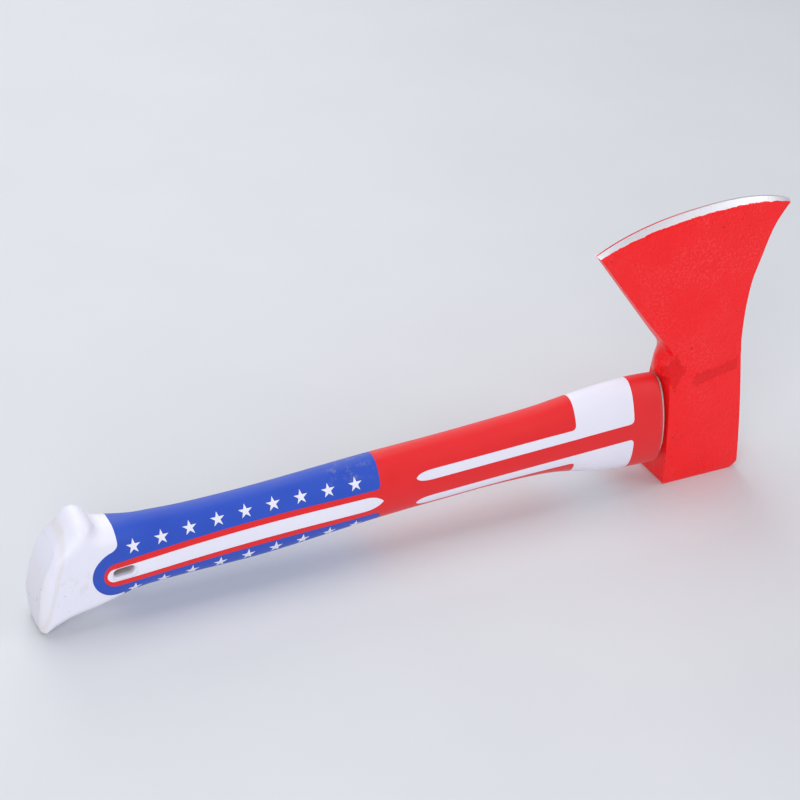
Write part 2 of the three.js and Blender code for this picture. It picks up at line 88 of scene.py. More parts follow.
# Matt pale laminate: nearly even, with a faint cloudiness that keeps it from looking blank.
floor_finish, tree = new_material("matt_pale_laminate")
where = add_node(tree, "ShaderNodeTexCoord", out="Object")
cloud = add_node(tree, "ShaderNodeTexNoise", {
    "Vector": where, "Scale": per_metre(90.0), "Detail": 3.0})
colour = add_node(tree, "ShaderNodeMix", {
    "Factor": cloud, COLOUR_A: linear("d3d5da"), COLOUR_B: linear("dadce0")},
    COLOUR_OUT, data_type="RGBA")
surface = add_node(tree, "ShaderNodeBsdfPrincipled", {"Base Color": colour, "Roughness": 0.6})
add_node(tree, "ShaderNodeOutputMaterial", {"Surface": surface})
floor_mesh = bpy.data.meshes.new("table_top")
FLOOR_HALF = 14.0
floor_mesh.from_pydata([
    (-FLOOR_HALF, -FLOOR_HALF, 0), (FLOOR_HALF, -FLOOR_HALF, 0),
    (FLOOR_HALF, FLOOR_HALF, 0), (-FLOOR_HALF, FLOOR_HALF, 0)], [], [(0, 1, 2, 3)])
floor_mesh.materials.append(floor_finish)
table_top = bpy.data.objects.new("table_top", floor_mesh)
bpy.context.collection.objects.link(table_top)

CAMERA_PLACE = Vector((-0.35495, -0.62865, 0.52005))
CAMERA_LOOK = Vector((0.4043, 0.7445, -0.5312))
CAMERA_UP = Vector((0.196, 0.497, 0.846))
CAMERA_LENS = 88.8

back = -CAMERA_LOOK.normalized()
right = CAMERA_UP.cross(back).normalized()
upright = back.cross(right)
turned = Matrix((right, upright, back)).transposed().to_4x4()
camera = bpy.data.objects.new("camera", bpy.data.cameras.new("camera"))
camera.matrix_world = Matrix.Translation(CAMERA_PLACE) @ turned
camera.data.lens = CAMERA_LENS
camera.data.clip_start = 0.01
bpy.context.collection.objects.link(camera)
bpy.context.scene.camera = camera


def soft_panel(name, place, size, watts):
    """A square light panel that faces the middle of the axe."""
    lamp = bpy.data.lights.new(name, "AREA")
    lamp.size = size
    lamp.energy = watts
    panel = bpy.data.objects.new(name, lamp)
    panel.location = place
    aim = Vector((0, 0, 0.05)) - Vector(place)
    panel.rotation_euler = aim.to_track_quat("-Z", "Y").to_euler()
    bpy.context.collection.objects.link(panel)


soft_panel("overhead_panel", (-0.1, 0.35, 1.3), 1.1, 8.5)
soft_panel("front_panel", (-0.9, -1.2, 0.75), 0.9, 12.0)
soft_panel("right_panel", (1.2, -0.7, 0.7), 0.8, 5.0)
soft_panel("far_panel", (0.2, 1.5, 0.8), 1.0, 6)

world = bpy.data.worlds.new("studio")
world.use_nodes = True
world.node_tree.nodes["Background"].inputs["Color"].default_value = linear("e8ecf4")
world.node_tree.nodes["Background"].inputs["Strength"].default_value = 0.42
bpy.context.scene.world = world
bpy.context.scene.view_settings.view_transform = "Standard"

# ------------------------------------------------------------------ white body
# First shot of the handle: white polypropylene moulded round the fibreglass core. It is the
# knob, and it comes through the two later shots as inlay, windows and stars. The lanyard slot
# is moulded through it.

HANDLE_LENGTH = 296.6  # mm, from the butt of the knob; the head follows
BUTT_X = HANDLE_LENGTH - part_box("handle_body")[1][0] / MM  # from the butt to the frame's origin
KNOB_HALF_THICKNESS = 12.2
HALF_THICKNESS = [[0, 12.2], [40, 12.2], [80, 11.8], [140, 11.8], [185, 11.4], [240, 11.8],
                  [HANDLE_LENGTH, 12.8]]
ROUNDNESS = 2.2  # exponent of the oval section
EGG = 0.25  # the oval is fuller below
KNOB_EDGE, KNOB_TOE, KNOB_CREST = 2.8, 7.0, 9.0  # edge radii of the knob
KNOB_SWELL = 2.2  # the butt edge is rounder at mid height
KNOB_BLEND = (22, 48)
BUTT_RADIUS, BUTT_CENTRE_Z = 60.0, 10.0
CREST_RADIUS, CREST_Z = 6.0, 51.6
TOE_RADIUS = 2.2
NECK = [30, 44.4]
TOP_LINE = [NECK, [38, 43.9], [50, 43.4], [68, 42.7], [100, 43.5], [150, 46.5], [185, 48],
            [210, 49.4], [235, 51.2], [258, 54.4], [280, 56.2], [HANDLE_LENGTH, 55.6]]
BOTTOM_LINE = [[12.8, 5.3], [21.3, 7.7], [30, 9.3], [39, 10.4], [50, 11.2], [66, 11.6],
               [100, 11.8], [150, 15.8], [185, 17.4], [210, 18.4], [235, 17.9], [249, 16],
               [264, 12.2], [280, 10], [HANDLE_LENGTH, 9.6]]
PATTERN_LINE = [[30, 24.6], [69, 27], [110, 28.7], [145, 29.4], [182, 30.4], [230, 32.5],
                [HANDLE_LENGTH, 35.4]]
SHOT_SEAM = 0.05  # hairline between two shots
STAR_SEAM = 0.13  # the stars sit in slightly open cut-outs
SHOT_DEPTH = 1.6
INLAY_HALF, INLAY_START, INLAY_TIP = 3.1, 28.5, 154.0
STRIPE_HALF, TAIL_WIDTH, TAIL_TIP = 3.9, 4.4, 170.3
TONGUE_END, WINDOW_END = 250.8, 281.2
CORNER = 2.5
BORDER = 2.5
ROUND_END_SHIFT = 1.0  # the border is thinner round the end of the inlay
BLUE_START, BLUE_END, BULGE_RADIUS = 33.6, 152.9, 11.0
STAR_RADIUS, STAR_WAIST, STAR_CORNERS = 3.3, 0.38, 10
STARS_PER_ROW, FIRST_STAR, STAR_PITCH = 9, 40.6, 12.6
STAR_OFFSETS = (10.1, -9.9)
STAR_TILT = math.radians(40)
SLOT_LENGTH, SLOT_HEIGHT, SLOT_WALL = 9.4, 4.1, 2.9
SLOT_FACE, SLOT_RIM = 12.1, 1.0  # where the flank is, and the radius of the rim


def curve_through(points, steps=24):
    """Smooth curve through the points, as a dense polyline."""
    p = np.array(points, float)
    line = []
    for i in range(len(p) - 1):
        a, b, c, d = p[max(i - 1, 0)], p[i], p[i + 1], p[min(i + 2, len(p) - 1)]
        for k in range(steps):
            t = k / steps
            v, w = (c - a) / 2, (d - b) / 2
            cubic = 2 * b - 2 * c + v + w
            square = 3 * c - 3 * b - 2 * v - w
            line.append(cubic * t ** 3 + square * t ** 2 + v * t + b)
    line.append(p[-1])
    return np.array(line)


def arc(centre, radius, start, end, steps=48):
    turn = np.linspace(start, end, steps)
    return np.column_stack((centre[0] + radius * np.cos(turn), centre[1] + radius * np.sin(turn)))


def bend(start, control, end, steps=10):
    """Quadratic curve from start to end."""
    t = np.linspace(0, 1, steps)[:, None]
    a, b, c = (np.array(p, float) for p in (start, control, end))
    return a * (1 - t) ** 2 + 2 * b * t * (1 - t) + c * t ** 2


def height_on(line, x):
    return float(np.interp(x, line[:, 0], line[:, 1]))


def ease(value, low, high):
    t = min(max((value - low) / (high - low), 0), 1)
    return t * t * (3 - 2 * t)


def inside_butt(radius, z):
    return BUTT_RADIUS - math.sqrt((BUTT_RADIUS - radius) ** 2 - (z - BUTT_CENTRE_Z) ** 2)


crest_centre = (inside_butt(CREST_RADIUS, CREST_Z - CREST_RADIUS), CREST_Z - CREST_RADIUS)
toe_centre = (inside_butt(TOE_RADIUS, TOE_RADIUS), TOE_RADIUS)
butt_centre = (BUTT_RADIUS, BUTT_CENTRE_Z)
crest_touch = math.atan2(crest_centre[1] - BUTT_CENTRE_Z, crest_centre[0] - BUTT_RADIUS)
toe_touch = math.atan2(toe_centre[1] - BUTT_CENTRE_Z, toe_centre[0] - BUTT_RADIUS) + 2 * math.pi
crest = arc(crest_centre, CREST_RADIUS, crest_touch, math.radians(20))
toe = arc(toe_centre, TOE_RADIUS, toe_touch, math.radians(298))
top_line = np.vstack((
    arc(butt_centre, BUTT_RADIUS, math.pi, crest_touch, 160), crest,
    bend(crest[-1], (crest_centre[0] + CREST_RADIUS + 0.6, NECK[1] + 0.2), NECK, 30),
    curve_through(TOP_LINE)[1:]))
bottom_line = np.vstack((
    arc(butt_centre, BUTT_RADIUS, math.pi, toe_touch, 60), toe,
    curve_through([toe[-1], *BOTTOM_LINE])[1:]))
knob_outline = np.vstack((top_line, bottom_line))
knob_outline = knob_outline[knob_outline[:, 0] < KNOB_BLEND[1] + KNOB_CREST]
thickness_line = curve_through(HALF_THICKNESS)
pattern_line = curve_through(PATTERN_LINE)


def pattern_z(x):
    return height_on(pattern_line, x)


def knob_half(x, z):
    """Half-thickness of the knob: full on the flank and rounded off near its outline."""
    swell = KNOB_SWELL * math.sin(math.pi * min(max((z - 2) / 46, 0), 1))
    radius = (KNOB_EDGE + swell + (KNOB_TOE - KNOB_EDGE) * (1 - ease(z, 2, 14))
              + (KNOB_CREST - KNOB_EDGE) * ease(z, 34, 48))
    nearest = np.min(np.hypot(knob_outline[:, 0] - x, knob_outline[:, 1] - z))
    inward = max(radius - nearest, 0)
    return KNOB_HALF_THICKNESS - radius + math.sqrt(radius ** 2 - inward ** 2)


def oval_half(x, level):
    full = height_on(thickness_line, x) * (1 - EGG * level)
    return full * (1 - abs(level) ** ROUNDNESS) ** (1 / ROUNDNESS)


def handle_section(x, inset, sides):
    """Points round the handle at x, with its outside moved in by inset."""
    upper, lower = height_on(top_line, x), height_on(bottom_line, x)
    middle, half_height = (upper + lower) / 2, (upper - lower) / 2
    blend = ease(x, *KNOB_BLEND)
    points = []
    for i in range(sides):
        turn = 2 * math.pi * i / sides
        across, up = math.cos(turn), math.sin(turn)
        level = math.copysign(abs(up) ** (2 / ROUNDNESS), up)
        half = blend * oval_half(x, min(max(level, -1), 1))
        if blend < 1:
            half += (1 - blend) * knob_half(x, middle + half_height * level)
        y = 0 if abs(across) < 1e-6 else math.copysign(half, across)
        y *= 1 - inset / height_on(thickness_line, x)
        points.append((x, y, middle + (half_height - inset) * level))
    return points


def link_mesh(name, mesh):
    made = bpy.data.objects.new(name, mesh)
    bpy.context.collection.objects.link(made)
    return made


def in_frame(points):
    """Millimetres from the butt to metres in the frame."""
    return [((x - BUTT_X) * MM, y * MM, z * MM) for x, y, z in points]


def loft(name, rings):
    """Closed skin through rings of equally many points, with flat ends."""
    count = len(rings[0])
    faces = [tuple(range(count))[::-1]]
    for i in range(len(rings) - 1):
        for j in range(count):
            k = (j + 1) % count
            faces.append((i * count + j, i * count + k, (i + 1) * count + k, (i + 1) * count + j))
    faces.append(tuple(range((len(rings) - 1) * count, len(rings) * count)))
    mesh = bpy.data.meshes.new(name)
    mesh.from_pydata(in_frame([p for ring in rings for p in ring]), [], faces)
    return link_mesh(name, mesh)


def through(name, *outlines):
    """Prisms through the whole thickness, one for each outline in X and Z."""
    reach = 3 * KNOB_HALF_THICKNESS
    points, faces = [], []
    for outline in outlines:
        area = sum(a[0] * b[1] - b[0] * a[1] for a, b in zip(outline, np.roll(outline, -1, 0)))
        around = outline if area > 0 else outline[::-1]
        count, first = len(around), len(points)
        points += [(x, -reach, z) for x, z in around] + [(x, reach, z) for x, z in around]
        faces.append(tuple(first + j for j in range(count)))
        faces.append(tuple(first + count + j for j in reversed(range(count))))
        for j in range(count):
            k = (j + 1) % count
            faces.append((first + k, first + j, first + count + j, first + count + k))
    mesh = bpy.data.meshes.new(name)
    mesh.from_pydata(in_frame(points), [], faces)
    return link_mesh(name, mesh)


def shape_with(body, operation, tool):
    """The body joined with, cut by or limited to the tool."""
    step = body.modifiers.new("shape", "BOOLEAN")
    step.operation = operation
    step.solver = "MANIFOLD"
    step.object = tool
    shown = bpy.context.evaluated_depsgraph_get()
    shaped = bpy.data.meshes.new_from_object(body.evaluated_get(shown))
    body.modifiers.clear()
    body.data = shaped
    return body


def copy_of(source, name):
    return link_mesh(name, source.data.copy())


def drop(*objects):
    for made in objects:
        bpy.data.objects.remove(made, do_unlink=True)


def stations(start, end):
    near_butt = [NECK[0] * (i / 56) ** 2 for i in range(2, 56)]
    rest = list(np.linspace(NECK[0] + 0.4, HANDLE_LENGTH, 190))
    return [start] + [x for x in near_butt + rest if start + 0.02 < x < end - 0.2] + [end]


def handle_form(name, inset, start, end, sides=96):
    return loft(name, [handle_section(x, inset, sides) for x in stations(start, end)])


def beside_pattern(start, end, offset, step=3.0):
    count = max(int(abs(end - start) / step), 2)
    return np.array([(x, pattern_z(x) + offset) for x in np.linspace(start, end, count)])


def inlay_outline(grow):
    half = INLAY_HALF + grow
    centre = INLAY_START + INLAY_HALF
    taper = INLAY_TIP - 3 * INLAY_HALF
    tip = (INLAY_TIP + grow, pattern_z(INLAY_TIP))
    under = beside_pattern(centre, taper, -half)
    over = beside_pattern(taper, centre, half)
    return np.vstack((
        arc((centre, pattern_z(centre)), half, math.pi / 2, 3 * math.pi / 2, 20)[:-1], under,
        bend(under[-1], (INLAY_TIP - 3, tip[1] - half), tip)[1:],
        bend(tip, (INLAY_TIP - 3, tip[1] + half), over[0])[1:-1], over[:-1]))


def window_outline(side, grow):
    near, far = STRIPE_HALF - grow, STRIPE_HALF + TAIL_WIDTH + grow
    middle = (near + far) / 2
    end, tongue, tip = WINDOW_END + grow, TONGUE_END - grow, TAIL_TIP - grow
    broad = tip + 2 * TAIL_WIDTH

    def at(x, offset):
        return x, pattern_z(x) + side * offset

    beyond = 2 * CREST_Z
    return np.vstack((
        bend(at(tip, middle), at(tip + 1, near), at(broad, near))[:-1],
        beside_pattern(broad, end - CORNER, side * near),
        bend(at(end - CORNER, near), at(end, near), at(end, near + CORNER))[1:],
        [at(end, beyond), at(tongue, beyond)],
        bend(at(tongue, far + CORNER), at(tongue, far), at(tongue - CORNER, far))[:-1],
        beside_pattern(tongue - CORNER, broad, side * far),
        bend(at(broad, far), at(tip + 1, far), at(tip, middle))[1:-1]))


def red_outline(grow):
    half = INLAY_HALF + BORDER + grow
    centre = INLAY_START + INLAY_HALF + ROUND_END_SHIFT
    end = BLUE_END - grow
    beyond = 2 * CREST_Z
    under = beside_pattern(centre, end - CORNER, -half)
    over = beside_pattern(end - CORNER, centre, half)
    level = pattern_z(end)
    return np.vstack((
        arc((centre, pattern_z(centre)), half, math.pi / 2, 3 * math.pi / 2, 28)[:-1], under,
        bend(under[-1], (end, level - half), (end, level - half - CORNER))[1:],
        [(end, -beyond), (HANDLE_LENGTH + 1, -beyond), (HANDLE_LENGTH + 1, beyond), (end, beyond)],
        bend((end, level + half + CORNER), (end, level + half), over[0])[:-1], over[:-1]))


def grip_outline(grow):
    radius = BULGE_RADIUS + grow
    start = BLUE_START - grow
    centre = (INLAY_START + INLAY_HALF + 1.6, pattern_z(INLAY_START + INLAY_HALF + 1.6) + 0.7)
    beyond = 2 * CREST_Z
    bulge = arc(centre, radius, math.radians(112), 3 * math.pi / 2, 40)
    return np.vstack((
        [(start, beyond)],
        bend((start, centre[1] + radius + CORNER), (start, centre[1] + radius), bulge[0])[:-1],
        bulge, [(start + CORNER, centre[1] - radius), (start + CORNER, -beyond),
                (HANDLE_LENGTH + 1, -beyond), (HANDLE_LENGTH + 1, beyond)]))


def star_prisms(name, grow):
    """Both rows of stars on both flanks, square to the surface."""
    reach = SHOT_DEPTH + STAR_RADIUS / 3
    turns = [math.pi / 2 + k * math.pi / 5 for k in range(STAR_CORNERS)]
    radii = [(STAR_RADIUS + grow) * (STAR_WAIST if k % 2 else 1) for k in range(STAR_CORNERS)]
    flat = [(r * math.cos(t), r * math.sin(t)) for r, t in zip(radii, turns)]
    points, faces = [], []
    for x in (FIRST_STAR + i * STAR_PITCH for i in range(STARS_PER_ROW)):
        for offset in STAR_OFFSETS:
            z = pattern_z(x) + offset
            upper, lower = height_on(top_line, x), height_on(bottom_line, x)
            flank = oval_half(x, (2 * z - upper - lower) / (upper - lower))
            for side in (1, -1):
                tilt = side * math.copysign(STAR_TILT, offset)
                turn = Matrix.Rotation(math.pi / 2 + tilt, 3, "X")
                first = len(points)
                for depth in (-reach, reach):
                    for u, v in flat:
                        p = turn @ Vector((u, v, depth))
                        points.append((x + p.x, side * flank + p.y, z + p.z))
                faces.append(tuple(first + k for k in reversed(range(STAR_CORNERS))))
                faces.append(tuple(first + STAR_CORNERS + k for k in range(STAR_CORNERS)))
                far = first + STAR_CORNERS
                for k in range(STAR_CORNERS):
                    n = (k + 1) % STAR_CORNERS
                    faces.append((first + k, first + n, far + n, far + k))
    mesh = bpy.data.meshes.new(name)
    mesh.from_pydata(in_frame(points), [], faces)
    return link_mesh(name, mesh)


def slot_level(y, grow):
    """Outline of the lanyard slot at one depth."""
    radius = SLOT_HEIGHT / 2
    start = INLAY_START + SLOT_WALL + radius
    end = start + SLOT_LENGTH - SLOT_HEIGHT
    flat = np.vstack((
        arc((start, pattern_z(start)), radius + grow, math.pi / 2, 3 * math.pi / 2, 18),
        arc((end, pattern_z(end)), radius + grow, -math.pi / 2, math.pi / 2, 18)))
    return [(x, y, z) for x, z in flat]


def slot_cutter(name):
    """The slot, which flares out in a soft rim at both flanks."""
    rim = [(SLOT_FACE + 3, SLOT_RIM * 0.8 + 0.05)]
    for k in range(9):
        turn = math.pi / 2 * k / 8
        rim.append((SLOT_FACE - SLOT_RIM * math.sin(turn), SLOT_RIM * (1 - math.sin(turn)) * 0.8))
    levels = rim + [(-y, grow) for y, grow in reversed(rim)]
    return loft(name, [slot_level(y, grow) for y, grow in levels])


whole_form = handle_form("whole_form", 0, 0.15, HANDLE_LENGTH)
whole_form.data.calc_loop_triangles()
form_points = [v.co.copy() for v in whole_form.data.vertices]
form_normals = [v.normal.copy() for v in whole_form.data.vertices]
form_faces = [tuple(t.vertices) for t in whole_form.data.loop_triangles]
form_tree = BVHTree.FromPolygons(form_points, form_faces)
ON_FORM = 0.012 * MM  # a point this near the form is on its surface
FACES_ALIKE = 0.7  # cosine; a face that turns further from the form's normal is a wall


def dress(piece, finish, node):
    """Moulded skin: the outside takes the form's own smooth normals, and the walls stay flat."""
    mesh = piece.data
    mesh.polygons.foreach_set("use_smooth", [True] * len(mesh.polygons))
    on_form = []
    for v in mesh.vertices:
        place, _, face, distance = form_tree.find_nearest(v.co)
        if distance > ON_FORM:
            on_form.append(None)
            continue
        corners = form_faces[face]
        shares = poly_3d_calc([form_points[c] for c in corners], place)
        normal = sum((form_normals[c] * s for c, s in zip(corners, shares)), Vector())
        on_form.append(normal.normalized())
    normals = []
    for face in mesh.polygons:
        outside = all(on_form[v] is not None and on_form[v].dot(face.normal) > FACES_ALIKE
                      for v in face.vertices)
        normals += [on_form[v] if outside else face.normal for v in face.vertices]
    mesh.normals_split_custom_set(normals)
    mesh.materials.clear()
    mesh.materials.append(finish)
    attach(piece, "root")
    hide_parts(node)


under_form = handle_form("under_form", SHOT_DEPTH, 20, HANDLE_LENGTH)
cover_form = handle_form("cover_form", SHOT_DEPTH - SHOT_SEAM, 20, HANDLE_LENGTH + 1)
white_windows = through("white_windows", window_outline(1, 0), window_outline(-1, 0))
white_inlay = through("white_inlay", inlay_outline(0))
red_area = through("red_area", red_outline(SHOT_SEAM))
grip_area = through("grip_area", grip_outline(SHOT_SEAM))
lanyard_slot = slot_cutter("lanyard_slot")

raised = star_prisms("raised", 0)
shape_with(raised, "DIFFERENCE", red_area)
shape_with(raised, "UNION", white_windows)
shape_with(raised, "UNION", white_inlay)
shape_with(raised, "INTERSECT", whole_form)
white_body = copy_of(whole_form, "white_body")
shape_with(white_body, "DIFFERENCE", grip_area)
shape_with(white_body, "UNION", under_form)
shape_with(white_body, "UNION", raised)
shape_with(white_body, "DIFFERENCE", lanyard_slot)

# Moulded polypropylene: a satin white that leans to lavender, with a fine spark-eroded grain,
# faint yellowing at the butt, a painted shade line along the crease near the butt edge, painted
# shade inside the lanyard slot and a few brown handling stains on the knob.
white_plastic, tree = new_material("moulded_white_polypropylene")
where = add_node(tree, "ShaderNodeTexCoord", out="Object")
place_x, place_y, place_z = add_node(tree, "ShaderNodeSeparateXYZ", {"Vector": where}).node.outputs
noise = {}
for name, size_mm, detail, roughness in (
        ("cloud", 26.0, 3.0, 0.5), ("stain", 5.0, 4.0, 0.6), ("spot", 1.6, 1.0, 0.5),
        ("spark_erosion", 0.55, 1.0, 0.5)):
    noise[name] = add_node(tree, "ShaderNodeTexNoise", {
        "Vector": where, "Scale": per_metre(size_mm), "Detail": detail, "Roughness": roughness})

CREASE_LEAN = 0.24  # the painted shade line of the crease runs from the toe straight up to the crest
CREASE_START = 0.0009  # metres from the butt
CREASE_WANDER = 0.003
# Painted shade: a darker yellowish line where the butt edge turns into the flank.
lean = add_node(tree, "ShaderNodeMath", {0: place_z, 1: CREASE_LEAN}, operation="MULTIPLY")
line = add_node(tree, "ShaderNodeMath", {0: place_x, 1: lean}, operation="SUBTRACT")
line = add_node(tree, "ShaderNodeMath", {0: line, 1: BUTT_X * MM - CREASE_START}, operation="ADD")
wander = add_node(tree, "ShaderNodeMath", {0: noise["cloud"], 1: 0.5}, operation="SUBTRACT")
wander = add_node(tree, "ShaderNodeMath", {0: wander, 1: CREASE_WANDER}, operation="MULTIPLY")
line = add_node(tree, "ShaderNodeMath", {0: line, 1: wander}, operation="ADD")
off_crease = add_node(tree, "ShaderNodeMath", {0: line}, operation="ABSOLUTE")
off_middle = add_node(tree, "ShaderNodeMath", {0: place_y}, operation="ABSOLUTE")

limit = {}  # limits along X, Y and Z are metres in the frame
for name, source, low, high, start, end in (
        ("butt", place_x, -0.1765, -0.1735, 1.0, 0.0),
        ("crease", off_crease, 0.0003, 0.0016, 0.22, 0.0),
        ("knob", place_x, -0.160, -0.145, 1.0, 0.0), ("toe", place_z, 0.020, 0.036, 1.0, 0.0),
        ("stain", noise["stain"], 0.56, 0.72, 0.0, 1.0),
        ("spot", noise["spot"], 0.74, 0.78, 0.0, 1.0),
        ("slot_depth", off_middle, 0.0085, 0.0105, 1.0, 0.0),
        ("slot_start", place_x, -0.1490, -0.1485, 0.0, 1.0),
        ("slot_end", place_x, -0.1365, -0.1360, 1.0, 0.0),
        ("slot_floor", place_z, 0.0205, 0.0210, 0.0, 1.0),
        ("slot_roof", place_z, 0.0285, 0.0290, 1.0, 0.0),
        ("satin", noise["cloud"], 0.3, 0.7, 0.34, 0.42)):
    limit[name] = add_node(tree, "ShaderNodeMapRange", {
        "Value": source, "From Min": low, "From Max": high, "To Min": start, "To Max": end},
        interpolation_type="SMOOTHSTEP")
near_toe = add_node(tree, "ShaderNodeMath", {0: limit["knob"], 1: limit["toe"]},
                    operation="MULTIPLY")
stain = add_node(tree, "ShaderNodeMath", {0: limit["stain"], 1: near_toe}, operation="MULTIPLY")
spot = add_node(tree, "ShaderNodeMath", {0: limit["spot"], 1: near_toe}, operation="MULTIPLY")
# Painted shade: the walls deep inside the lanyard slot are darkened.
slot_reach = add_node(tree, "ShaderNodeMath", {0: limit["slot_start"], 1: limit["slot_end"]},
                      operation="MULTIPLY")
slot_height = add_node(tree, "ShaderNodeMath", {0: limit["slot_floor"], 1: limit["slot_roof"]},
                       operation="MULTIPLY")
slot_area = add_node(tree, "ShaderNodeMath", {0: slot_reach, 1: slot_height},
                     operation="MULTIPLY")
slot_shade = add_node(tree, "ShaderNodeMath", {0: limit["slot_depth"], 1: slot_area},
                   operation="MULTIPLY")

colour = add_node(tree, "ShaderNodeMix", {
    "Factor": noise["cloud"], COLOUR_A: linear("e6e5f4"), COLOUR_B: linear("efeefa")},
    COLOUR_OUT, data_type="RGBA")
for mask, share, tint in ((limit["butt"], 0.12, "e3d9b8"), (limit["crease"], 1.0, "d8cfb0"),
                          (stain, 0.18, "b79a78"), (spot, 0.6, "8c6a4c"),
                          (slot_shade, 0.55, "8c7464")):
    strength = add_node(tree, "ShaderNodeMath", {0: mask, 1: share}, operation="MULTIPLY")
    colour = add_node(tree, "ShaderNodeMix", {
        "Factor": strength, COLOUR_A: colour, COLOUR_B: linear(tint)},
        COLOUR_OUT, data_type="RGBA")
relief = add_node(tree, "ShaderNodeBump", {
    "Height": noise["spark_erosion"], "Distance": 0.02 * MM, "Strength": 0.5})
shader = add_node(tree, "ShaderNodeBsdfPrincipled", {
    "Base Color": colour, "Roughness": limit["satin"], "IOR": 1.49, "Normal": relief})
add_node(tree, "ShaderNodeOutputMaterial", {"Surface": shader})
dress(white_body, white_plastic, "handle_body")

# ------------------------------------------------------------------ red sleeve
# Second shot: red thermoplastic rubber from the blue grip to the head, and the border that
# runs out along the grip round the white inlay. It is moulded flush with the white windows.

red_sleeve = copy_of(whole_form, "red_rubber_sleeve")
shape_with(red_sleeve, "DIFFERENCE", cover_form)
red_limit = through("red_limit", red_outline(0))
red_holes = through("red_holes", window_outline(1, SHOT_SEAM), window_outline(-1, SHOT_SEAM))
inlay_hole = through("inlay_hole", inlay_outline(SHOT_SEAM))
shape_with(red_sleeve, "INTERSECT", red_limit)
shape_with(red_sleeve, "DIFFERENCE", red_holes)
shape_with(red_sleeve, "DIFFERENCE", inlay_hole)

# Soft-touch rubber: a saturated red with a dull sheen, a fine leathery grain and a few pale
# rub marks where it is handled.
red_rubber, tree = new_material("soft_touch_red_rubber")
where = add_node(tree, "ShaderNodeTexCoord", out="Object")
noise = {}
for name, size_mm, detail, roughness in (
        ("cloud", 18.0, 3.0, 0.5), ("rub", 3.5, 5.0, 0.7), ("leather", 0.45, 2.0, 0.5)):
    noise[name] = add_node(tree, "ShaderNodeTexNoise", {
        "Vector": where, "Scale": per_metre(size_mm), "Detail": detail, "Roughness": roughness})
colour = add_node(tree, "ShaderNodeMix", {
    "Factor": noise["cloud"], COLOUR_A: linear("e00e16"), COLOUR_B: linear("ea141b")},
    COLOUR_OUT, data_type="RGBA")
rub = add_node(tree, "ShaderNodeMapRange", {
    "Value": noise["rub"], "From Min": 0.66, "From Max": 0.80, "To Min": 0.0, "To Max": 0.28},
    interpolation_type="SMOOTHSTEP")
colour = add_node(tree, "ShaderNodeMix", {
    "Factor": rub, COLOUR_A: colour, COLOUR_B: linear("f05a58")},
    COLOUR_OUT, data_type="RGBA")
dullness = add_node(tree, "ShaderNodeMapRange", {
    "Value": noise["cloud"], "From Min": 0.3, "From Max": 0.7, "To Min": 0.44, "To Max": 0.52},
    interpolation_type="SMOOTHSTEP")
relief = add_node(tree, "ShaderNodeBump", {
    "Height": noise["leather"], "Distance": 0.03 * MM, "Strength": 0.7})
shader = add_node(tree, "ShaderNodeBsdfPrincipled", {
    "Base Color": colour, "Roughness": dullness, "IOR": 1.5, "Sheen Weight": 0.12,
    "Sheen Roughness": 0.5, "Normal": relief})
add_node(tree, "ShaderNodeOutputMaterial", {"Surface": shader})
dress(red_sleeve, red_rubber, "red_sleeve")

# ------------------------------------------------------------------ blue grip
# Third shot: blue thermoplastic rubber between the knob and the red sleeve, with cut-outs that
# the white stars fill. It wraps the handle above and below the red border.

blue_grip = copy_of(whole_form, "blue_rubber_grip")
blue_limit = through("blue_limit", grip_outline(0))
blue_end = through("blue_end", red_outline(SHOT_SEAM))
star_holes = star_prisms("star_holes", STAR_SEAM)
shape_with(blue_grip, "DIFFERENCE", cover_form)
shape_with(blue_grip, "INTERSECT", blue_limit)
shape_with(blue_grip, "DIFFERENCE", blue_end)
shape_with(blue_grip, "DIFFERENCE", star_holes)

# The same rubber in royal blue. Grey scuffs show more on it.
blue_rubber, tree = new_material("soft_touch_blue_rubber")
where = add_node(tree, "ShaderNodeTexCoord", out="Object")
place_x, _, place_z = add_node(tree, "ShaderNodeSeparateXYZ", {"Vector": where}).node.outputs
noise = {}
for name, size_mm, detail, roughness in (
        ("cloud", 16.0, 3.0, 0.5), ("rub", 2.8, 5.0, 0.7), ("scuff", 4.0, 4.0, 0.7),
        ("leather", 0.45, 2.0, 0.5)):
    noise[name] = add_node(tree, "ShaderNodeTexNoise", {
        "Vector": where, "Scale": per_metre(size_mm), "Detail": detail, "Roughness": roughness})
limit = {}  # limits along X and Z are metres in the frame
for name, source, low, high, start, end in (
        ("rub", noise["rub"], 0.66, 0.80, 0.0, 0.25),
        ("scuff", noise["scuff"], 0.50, 0.66, 0.0, 1.0),
        ("grip_end", place_x, -0.052, -0.045, 0.0, 1.0),
        ("upper_edge", place_z, 0.039, 0.043, 0.0, 1.0),
        ("dullness", noise["cloud"], 0.3, 0.7, 0.46, 0.54)):
    limit[name] = add_node(tree, "ShaderNodeMapRange", {
        "Value": source, "From Min": low, "From Max": high, "To Min": start, "To Max": end},
        interpolation_type="SMOOTHSTEP")
scuffed = add_node(tree, "ShaderNodeMath", {0: limit["grip_end"], 1: limit["upper_edge"]},
                   operation="MULTIPLY")
scuff = add_node(tree, "ShaderNodeMath", {0: limit["scuff"], 1: scuffed}, operation="MULTIPLY")
colour = add_node(tree, "ShaderNodeMix", {
    "Factor": noise["cloud"], COLOUR_A: linear("1a44b4"), COLOUR_B: linear("2150c4")},
    COLOUR_OUT, data_type="RGBA")
for mask, share, tint in ((limit["rub"], 1.0, "6f86b4"), (scuff, 0.5, "7c8496")):
    strength = add_node(tree, "ShaderNodeMath", {0: mask, 1: share}, operation="MULTIPLY")
    colour = add_node(tree, "ShaderNodeMix", {
        "Factor": strength, COLOUR_A: colour, COLOUR_B: linear(tint)},
        COLOUR_OUT, data_type="RGBA")
relief = add_node(tree, "ShaderNodeBump", {
    "Height": noise["leather"], "Distance": 0.03 * MM, "Strength": 0.7})
